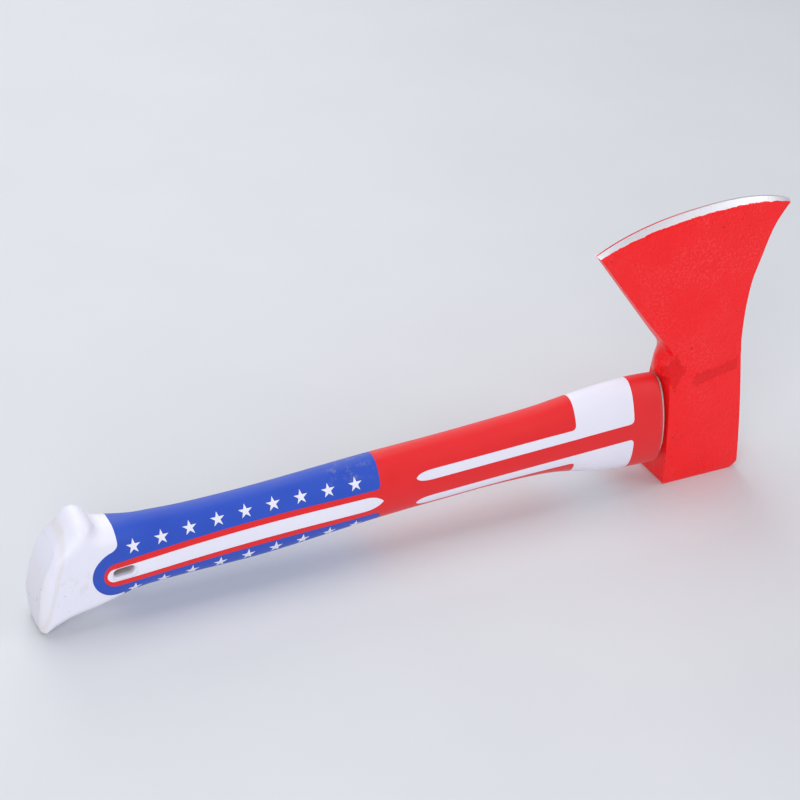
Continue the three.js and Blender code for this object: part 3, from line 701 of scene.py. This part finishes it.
shader = add_node(tree, "ShaderNodeBsdfPrincipled", {
    "Base Color": colour, "Roughness": limit["dullness"], "IOR": 1.5, "Sheen Weight": 0.12,
    "Sheen Roughness": 0.5, "Normal": relief})
add_node(tree, "ShaderNodeOutputMaterial", {"Surface": shader})
dress(blue_grip, blue_rubber, "blue_grip")

drop(whole_form, under_form, cover_form, white_windows, white_inlay, red_area, grip_area,
     lanyard_slot, raised, red_limit, red_holes, inlay_hole, blue_limit, blue_end, star_holes)

# ------------------------------------------------------------------ head
# Drop-forged carbon steel with a poll, an eye under a lug, and a flared blade. The paint is
# sprayed over the forging skin, and the edge is ground bare afterwards.

HEAD_X = HANDLE_LENGTH + 5
POLL_LENGTH, POLL_HALF, POLL_EDGE = 41.8, 12.35, 0.6
FRONT_LEAN = math.tan(math.radians(1.5))
CROWN_LEAN = math.tan(math.radians(5))
RIDGE = 1.2
EYE_TOP, LUG_HEIGHT, LUG_NOSE, LUG_HALF, NECK_HALF = 61.5, 5.0, 5.0, 7.0, 8.7
BLADE_ROOT = 68.0
HEEL, TOE = (-44.6, 123.7), (55.7, 134.8)
INNER_START = (-1.1, 67.2)
CROWN_LINE = [[35.6, 68], [35.7, 84], [37.9, 98.6], [41.4, 108], [47.4, 124], TOE]
EDGE_BULGE, GRIND_HEIGHT, GRIND_HALF, EDGE_HALF = 8.9, 2.5, 2.6, 0.3
HEEL_HALF, HEEL_DRAFT = 2.9, 0.19
EYE_HALF_HEIGHT, EYE_HALF_THICKNESS = 16.0, 6.8
CORE_START, CORE_START_Z, CORE_RISE = 46.0, 26.4, math.radians(1.35)
BAND_RISE, BAND_LEVEL = 0.21, 0.0248  # the painted dark reflection band climbs towards the crown
CORNER_CREASE = 0.55
CORNER_SUPPORT = 0.7  # distance of the rows that hold the rounded corners
SHARP_CORNER = math.radians(32)  # faces that meet at more than this keep a hard edge


def edge_shape(u):
    return (1 - abs(2 * u - 1) ** 2.4) ** 0.92


def head_ring(front, rear, front_half, half, nose=RIDGE, lift=0.0, bulge=0.0):
    """One level of the forging, with close points on both sides of each corner."""
    length = rear[0] - front[0]
    support = CORNER_SUPPORT / length
    shares = [0, support] + [i / 14 for i in range(1, 14)] + [1 - support, 1]
    near = []
    for u in shares:
        y = front_half + (half - front_half) * (1 - (1 - min(u / 0.45, 1)) ** 2)
        z = front[1] + (rear[1] - front[1]) * u + bulge * edge_shape(u)
        near.append((front[0] + length * u, -y, z))
    far = [(x, -y, z) for x, y, z in reversed(near)]
    ridge = RIDGE * half / POLL_HALF
    tuck_front = min(CORNER_SUPPORT / front_half, 0.45)
    tuck_rear = min(CORNER_SUPPORT / half, 0.45)
    nose_tip = (front[0] - nose, 0, front[1] + lift)
    crown_tip = (rear[0] + ridge, 0, rear[1])

    def between(a, b, share):
        return tuple(p + (q - p) * share for p, q in zip(a, b))

    ring = [nose_tip, between(near[0], nose_tip, tuck_front), *near,
            between(near[-1], crown_tip, tuck_rear), crown_tip,
            between(far[0], crown_tip, tuck_rear), *far, between(far[-1], nose_tip, tuck_front)]
    return [(x + HEAD_X, y, z) for x, y, z in ring]


def poll_levels():
    half_line = curve_through([[0, POLL_HALF], [14, POLL_HALF], [38, 11.1], [EYE_TOP, NECK_HALF]])
    front_line = curve_through([[0, POLL_HALF], [14, 12.1], [38, 10.4], [EYE_TOP, LUG_HALF]])

    def level(z, nose, lift=0.0, rear=None):
        return dict(front=(-FRONT_LEAN * z, z), rear=rear or (POLL_LENGTH - CROWN_LEAN * z, z),
                    front_half=height_on(front_line, z), half=height_on(half_line, z),
                    nose=nose, lift=lift)

    struck = POLL_HALF - POLL_EDGE
    under = EYE_TOP - LUG_HEIGHT
    return [dict(front=(POLL_EDGE, 0), rear=(POLL_LENGTH - 3.6, 0), front_half=struck,
                 half=struck, nose=0),
            level(POLL_EDGE, 0, rear=(POLL_LENGTH, 3.0)), level(4.5, 0.2), level(14, RIDGE / 2),
            level(26, RIDGE), level(38, RIDGE), level(48, RIDGE), level(under - 1.8, RIDGE),
            level(under - 0.9, RIDGE), level(under, LUG_NOSE), level(under + 0.9, LUG_NOSE),
            level(EYE_TOP - 0.9, LUG_NOSE, 2.2), level(EYE_TOP, LUG_NOSE, 2.6)]


def blade_levels():
    crown = curve_through(CROWN_LINE, 60)
    run = np.concatenate(([0], np.cumsum(np.hypot(*np.diff(crown, axis=0).T))))
    inner = [[INNER_START[1], INNER_START[0]], [HEEL[1], HEEL[0]]]
    front_line = curve_through([[BLADE_ROOT, LUG_HALF], [75, 6.4], [84, 4.6], [96, 3.4],
                                [HEEL[1], HEEL_HALF]])
    half_line = curve_through([[0, NECK_HALF - 0.3], [0.25, 7.4], [0.5, 5.6], [0.75, 4.1],
                               [1, GRIND_HALF]])
    levels = [dict(front=(-0.8, EYE_TOP + 3.2), rear=(POLL_LENGTH - CROWN_LEAN * 65, 65),
                   front_half=LUG_HALF, half=NECK_HALF - 0.1, nose=LUG_NOSE - 0.8, lift=2.0)]
    slope = (inner[1][1] - inner[0][1]) / (inner[1][0] - inner[0][0])
    for t in np.linspace(0, 1, 14):
        reach = 0.985 * t * run[-1]
        rear = tuple(float(np.interp(reach, run, crown[:, axis])) for axis in (0, 1))
        z = BLADE_ROOT + (HEEL[1] - 1 - BLADE_ROOT) * t
        lift = 2.4 * max(1 - t / 0.2, 0)
        half = height_on(half_line, t)
        thin = min(height_on(front_line, z), half)
        nose = HEEL_DRAFT * thin
        inner_edge = INNER_START[0] + slope * (z + lift - INNER_START[1])
        levels.append(dict(front=(inner_edge + nose + 0.9 * lift, z), rear=rear, front_half=thin,
                           half=half, nose=nose + 0.9 * lift, lift=lift,
                           bulge=(EDGE_BULGE - GRIND_HEIGHT) * t ** 1.5))
    return levels


head_levels = poll_levels() + blade_levels()
head_levels.append(dict(front=HEEL, rear=TOE, front_half=EDGE_HALF, half=EDGE_HALF, nose=0,
                        bulge=EDGE_BULGE))
head_rings = [head_ring(**level) for level in head_levels]
painted_head = loft("painted_head", head_rings)
ring_size = len(head_rings[0])
ring_count = len(head_rings)
STRUCK_FACE, LUG_ROOT, LUG_UNDERSIDE, LUG_TOP = 0, 8, 9, 12  # rings of the poll, counted up
creased = {STRUCK_FACE: 1.0, LUG_ROOT: 0.7, LUG_UNDERSIDE: 0.8, LUG_TOP: 0.8,
           ring_count - 2: 1.0, ring_count - 1: 1.0}  # the last two bound the ground bevel
CORNER_POINTS = (2, 18, 22, 38)  # places in a ring: near cheek front and rear, far rear and front
crease = painted_head.data.attributes.new("crease_edge", "FLOAT", "EDGE")
for joint in painted_head.data.edges:
    a, b = (v // ring_size for v in joint.vertices)
    if a == b and a in creased:
        crease.data[joint.index].value = creased[a]
    elif abs(a - b) == 1 and joint.vertices[0] % ring_size in CORNER_POINTS:
        crease.data[joint.index].value = CORNER_CREASE
ground = painted_head.data.attributes.new("ground", "FLOAT", "POINT")
for point in range((ring_count - 1) * ring_size, ring_count * ring_size):
    ground.data[point].value = 1.0
rounding = painted_head.modifiers.new("rounding", "SUBSURF")
rounding.levels = rounding.render_levels = 2
EYE_SIDES = 64
eye_points = []
for x in (HANDLE_LENGTH - 10, HEAD_X + POLL_LENGTH + 20):
    along = x - CORE_START
    for k in range(EYE_SIDES):
        turn = 2 * math.pi * k / EYE_SIDES
        rise = EYE_HALF_HEIGHT * math.sin(turn)
        eye_points.append((CORE_START + along * math.cos(CORE_RISE) - rise * math.sin(CORE_RISE),
                           EYE_HALF_THICKNESS * math.cos(turn),
                           CORE_START_Z + along * math.sin(CORE_RISE) + rise * math.cos(CORE_RISE)))
eye_cutter = loft("eye_cutter", [eye_points[:EYE_SIDES], eye_points[EYE_SIDES:]])
shape_with(painted_head, "DIFFERENCE", eye_cutter)
drop(eye_cutter)

# Gloss enamel over the forging: orange peel and grit under a wet-looking coat, pits with dark
# specks, painted highlights as paler mottling on the peel, a painted dark reflection as a rough
# darker band where the blade leaves the eye and a patch at the lug, and bare ground steel at the
# edge.
head_paint, tree = new_material("sprayed_red_enamel_and_ground_steel")
where = add_node(tree, "ShaderNodeTexCoord", out="Object")
place_x, _, place_z = add_node(tree, "ShaderNodeSeparateXYZ", {"Vector": where}).node.outputs
bare = add_node(tree, "ShaderNodeAttribute", out="Fac", attribute_name="ground")
brushed = add_node(tree, "ShaderNodeMapping", {"Vector": where, "Scale": (1.0, 1.0, 0.08)})
noise = {}
for name, vector, size_mm, detail, roughness in (
        ("cloud", where, 14.0, 3.0, 0.5), ("peel", where, 1.1, 2.0, 0.5),
        ("painted_sheen_mottle", where, 30.0, 2.0, 0.5), ("ragged", where, 2.6, 5.0, 0.75),
        ("pits", where, 2.2, 1.0, 0.5), ("forging", where, 7.0, 2.0, 0.5),
        ("drops", where, 0.9, 2.0, 0.5), ("scratches", brushed, 0.35, 2.0, 0.7)):
    noise[name] = add_node(tree, "ShaderNodeTexNoise", {
        "Vector": vector, "Scale": per_metre(size_mm), "Detail": detail, "Roughness": roughness})

PATCH_X, PATCH_Z, PATCH_FLAT = 0.1238, 0.0592, 0.6  # the painted dark reflection patch at the lug
EDGE_WANDER, FRINGE_WANDER = 0.0080, 0.55
middle = add_node(tree, "ShaderNodeMath", {0: place_x, 1: BAND_RISE}, operation="MULTIPLY")
middle = add_node(tree, "ShaderNodeMath", {0: middle, 1: BAND_LEVEL}, operation="ADD")
off_band = add_node(tree, "ShaderNodeMath", {0: place_z, 1: middle}, operation="SUBTRACT")
off_band = add_node(tree, "ShaderNodeMath", {0: off_band}, operation="ABSOLUTE")
uneven = add_node(tree, "ShaderNodeMath", {0: noise["ragged"], 1: 0.5}, operation="SUBTRACT")
rough_edge = add_node(tree, "ShaderNodeMath", {0: uneven, 1: EDGE_WANDER}, operation="MULTIPLY")
band_side = add_node(tree, "ShaderNodeMath", {0: off_band, 1: rough_edge}, operation="ADD")
band_start = add_node(tree, "ShaderNodeMath", {0: place_x, 1: rough_edge}, operation="ADD")
patch_x = add_node(tree, "ShaderNodeMath", {0: place_x, 1: PATCH_X}, operation="SUBTRACT")
patch_x = add_node(tree, "ShaderNodeMath", {0: patch_x}, operation="ABSOLUTE")
patch_z = add_node(tree, "ShaderNodeMath", {0: place_z, 1: PATCH_Z}, operation="SUBTRACT")
patch_z = add_node(tree, "ShaderNodeMath", {0: patch_z}, operation="ABSOLUTE")
patch_z = add_node(tree, "ShaderNodeMath", {0: patch_z, 1: PATCH_FLAT}, operation="MULTIPLY")
patch = add_node(tree, "ShaderNodeMath", {0: patch_x, 1: patch_z}, operation="ADD")
patch = add_node(tree, "ShaderNodeMath", {0: patch, 1: rough_edge}, operation="ADD")
wander = add_node(tree, "ShaderNodeMath", {0: uneven, 1: FRINGE_WANDER}, operation="MULTIPLY")
ground_line = add_node(tree, "ShaderNodeMath", {0: bare, 1: wander}, operation="ADD")

limit = {}  # limits along X and Z are metres in the frame
for name, source, low, high, start, end in (
        ("peel_sheen", noise["peel"], 0.45, 0.70, 0.0, 1.0),
        ("broad_sheen", noise["painted_sheen_mottle"], 0.42, 0.62, 0.0, 1.0),
        ("band_side", band_side, 0.0028, 0.0031, 1.0, 0.0),
        ("band_start", band_start, 0.1338, 0.1342, 0.0, 1.0),
        ("band_end", place_x, 0.1572, 0.1578, 1.0, 0.0),
        ("patch", patch, 0.0052, 0.0056, 1.0, 0.0),
        ("pits", noise["pits"], 0.76, 0.79, 0.0, 1.0),
        ("gloss", noise["peel"], 0.3, 0.7, 0.32, 0.42),
        ("steel_dullness", noise["scratches"], 0.2, 0.8, 0.42, 0.58),
        ("fringe", ground_line, 0.13, 0.16, 0.0, 1.0),
        ("drops", noise["drops"], 0.72, 0.74, 1.0, 0.0),
        ("edge_line", bare, 0.955, 0.975, 0.0, 1.0),
        ("heel_side", place_x, 0.10, 0.15, 0.8, 0.0)):
    limit[name] = add_node(tree, "ShaderNodeMapRange", {
        "Value": source, "From Min": low, "From Max": high, "To Min": start, "To Max": end},
        interpolation_type="SMOOTHSTEP")
# Painted highlight: paler red on the orange-peel crests, in broad patches, stands in for the sheen
# of the gloss.
painted_sheen_mottle = add_node(tree, "ShaderNodeMath", {0: limit["peel_sheen"], 1: limit["broad_sheen"]},
                  operation="MULTIPLY")
# Painted dark reflection: a darker red band and patch on the cheeks, where a reflection of dark
# surroundings is painted into the colour.
painted_dark_reflection = add_node(tree, "ShaderNodeMath", {0: limit["band_side"], 1: limit["band_start"]},
                operation="MULTIPLY")
painted_dark_reflection = add_node(tree, "ShaderNodeMath", {0: painted_dark_reflection, 1: limit["band_end"]}, operation="MULTIPLY")
painted_dark_reflection = add_node(tree, "ShaderNodeMath", {0: painted_dark_reflection, 1: limit["patch"]}, operation="MAXIMUM")
left_paint = add_node(tree, "ShaderNodeMath", {0: limit["edge_line"], 1: limit["heel_side"]},
                      operation="MULTIPLY")
worn = add_node(tree, "ShaderNodeMath", {0: 1.0, 1: left_paint}, operation="SUBTRACT")
fringe = add_node(tree, "ShaderNodeMath", {0: limit["fringe"], 1: worn}, operation="MULTIPLY")
fringe = add_node(tree, "ShaderNodeMath", {0: fringe, 1: limit["drops"]}, operation="MULTIPLY")

colour = add_node(tree, "ShaderNodeMix", {
    "Factor": noise["cloud"], COLOUR_A: linear("f80a10"), COLOUR_B: linear("ff161c")},
    COLOUR_OUT, data_type="RGBA")
for mask, share, tint in ((painted_sheen_mottle, 0.30, "ff5658"), (painted_dark_reflection, 1.0, "ea0008"),
                          (limit["pits"], 1.0, "c00008")):
    strength = add_node(tree, "ShaderNodeMath", {0: mask, 1: share}, operation="MULTIPLY")
    colour = add_node(tree, "ShaderNodeMix", {
        "Factor": strength, COLOUR_A: colour, COLOUR_B: linear(tint)},
        COLOUR_OUT, data_type="RGBA")
relief = add_node(tree, "ShaderNodeBump", {
    "Height": noise["forging"], "Distance": 0.50 * MM, "Strength": 0.9})
relief = add_node(tree, "ShaderNodeBump", {
    "Height": noise["peel"], "Distance": 0.30 * MM, "Strength": 1.0, "Normal": relief})
relief = add_node(tree, "ShaderNodeBump", {
    "Height": limit["pits"], "Distance": 0.08 * MM, "Strength": 0.5, "Normal": relief},
    invert=True)
paint = add_node(tree, "ShaderNodeBsdfPrincipled", {
    "Base Color": colour, "Roughness": limit["gloss"], "IOR": 1.45, "Specular IOR Level": 0.35,
    "Coat Weight": 0.18, "Coat Roughness": 0.12, "Normal": relief, "Coat Normal": relief})
steel_colour = add_node(tree, "ShaderNodeMix", {
    "Factor": noise["scratches"], COLOUR_A: linear("e6e5ea"), COLOUR_B: linear("fafaff")},
    COLOUR_OUT, data_type="RGBA")
steel_relief = add_node(tree, "ShaderNodeBump", {
    "Height": noise["scratches"], "Distance": 0.01 * MM, "Strength": 0.6})
steel = add_node(tree, "ShaderNodeBsdfPrincipled", {
    "Base Color": steel_colour, "Metallic": 1.0, "Roughness": limit["steel_dullness"],
    "Normal": steel_relief})
edge = add_node(tree, "ShaderNodeMixShader", {0: fringe, 1: paint, 2: steel})
add_node(tree, "ShaderNodeOutputMaterial", {"Surface": edge})
painted_head.data.materials.clear()
painted_head.data.materials.append(head_paint)
painted_head.data.polygons.foreach_set("use_smooth", [True] * len(painted_head.data.polygons))
painted_head.data.set_sharp_from_angle(angle=SHARP_CORNER)
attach(painted_head, "root")
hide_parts("axe_head")

# ------------------------------------------------------------------ core, potting and bead
# The fibreglass bar runs through the handle into the eye, where black epoxy holds it. It is
# seen at the crown face. Clear adhesive squeezed out between the shoulder and the head.

# Pultruded glass fibre: straw-coloured resin with pale strands end-on and a sawn, dull face.
core_finish, tree = new_material("sawn_pultruded_fibreglass")
where = add_node(tree, "ShaderNodeTexCoord", out="Object")
strands = add_node(tree, "ShaderNodeTexNoise", {
    "Vector": where, "Scale": per_metre(0.5), "Detail": 3.0, "Roughness": 0.7})
colour = add_node(tree, "ShaderNodeMix", {
    "Factor": strands, COLOUR_A: linear("a89f6e"), COLOUR_B: linear("d8d2a8")},
    COLOUR_OUT, data_type="RGBA")
relief = add_node(tree, "ShaderNodeBump", {
    "Height": strands, "Distance": 0.05 * MM, "Strength": 0.8})
shader = add_node(tree, "ShaderNodeBsdfPrincipled", {
    "Base Color": colour, "Roughness": 0.6, "IOR": 1.52, "Normal": relief})
add_node(tree, "ShaderNodeOutputMaterial", {"Surface": shader})

# Poured epoxy: nearly black and glossy, with a slightly wavy poured face.
resin_finish, tree = new_material("poured_black_epoxy")
where = add_node(tree, "ShaderNodeTexCoord", out="Object")
waves = add_node(tree, "ShaderNodeTexNoise", {"Vector": where, "Scale": per_metre(3.0)})
colour = add_node(tree, "ShaderNodeMix", {
    "Factor": waves, COLOUR_A: linear("17171a"), COLOUR_B: linear("26262b")},
    COLOUR_OUT, data_type="RGBA")
gloss = add_node(tree, "ShaderNodeMapRange", {
    "Value": waves, "From Min": 0.3, "From Max": 0.7, "To Min": 0.16, "To Max": 0.3},
    interpolation_type="SMOOTHSTEP")
relief = add_node(tree, "ShaderNodeBump", {
    "Height": waves, "Distance": 0.15 * MM, "Strength": 0.8})
shader = add_node(tree, "ShaderNodeBsdfPrincipled", {
    "Base Color": colour, "Roughness": gloss, "IOR": 1.55, "Normal": relief})
add_node(tree, "ShaderNodeOutputMaterial", {"Surface": shader})

# Clear adhesive: wet and slightly milky, so it catches white glints along the shoulder.
bead_finish, tree = new_material("clear_squeezed_adhesive")
where = add_node(tree, "ShaderNodeTexCoord", out="Object")
waves = add_node(tree, "ShaderNodeTexNoise", {"Vector": where, "Scale": per_metre(1.6)})
colour = add_node(tree, "ShaderNodeMix", {
    "Factor": waves, COLOUR_A: linear("d9c4c0"), COLOUR_B: linear("f1e8e2")},
    COLOUR_OUT, data_type="RGBA")
relief = add_node(tree, "ShaderNodeBump", {
    "Height": waves, "Distance": 0.25 * MM, "Strength": 0.9})
shader = add_node(tree, "ShaderNodeBsdfPrincipled", {
    "Base Color": colour, "Roughness": 0.08, "IOR": 1.5, "Transmission Weight": 0.35,
    "Normal": relief})
add_node(tree, "ShaderNodeOutputMaterial", {"Surface": shader})

for name, finish in (("handle_core", core_finish), ("eye_resin", resin_finish),
                     ("shoulder_bead", bead_finish)):
    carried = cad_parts[name]
    carried.data.materials.clear()
    carried.data.materials.append(finish)
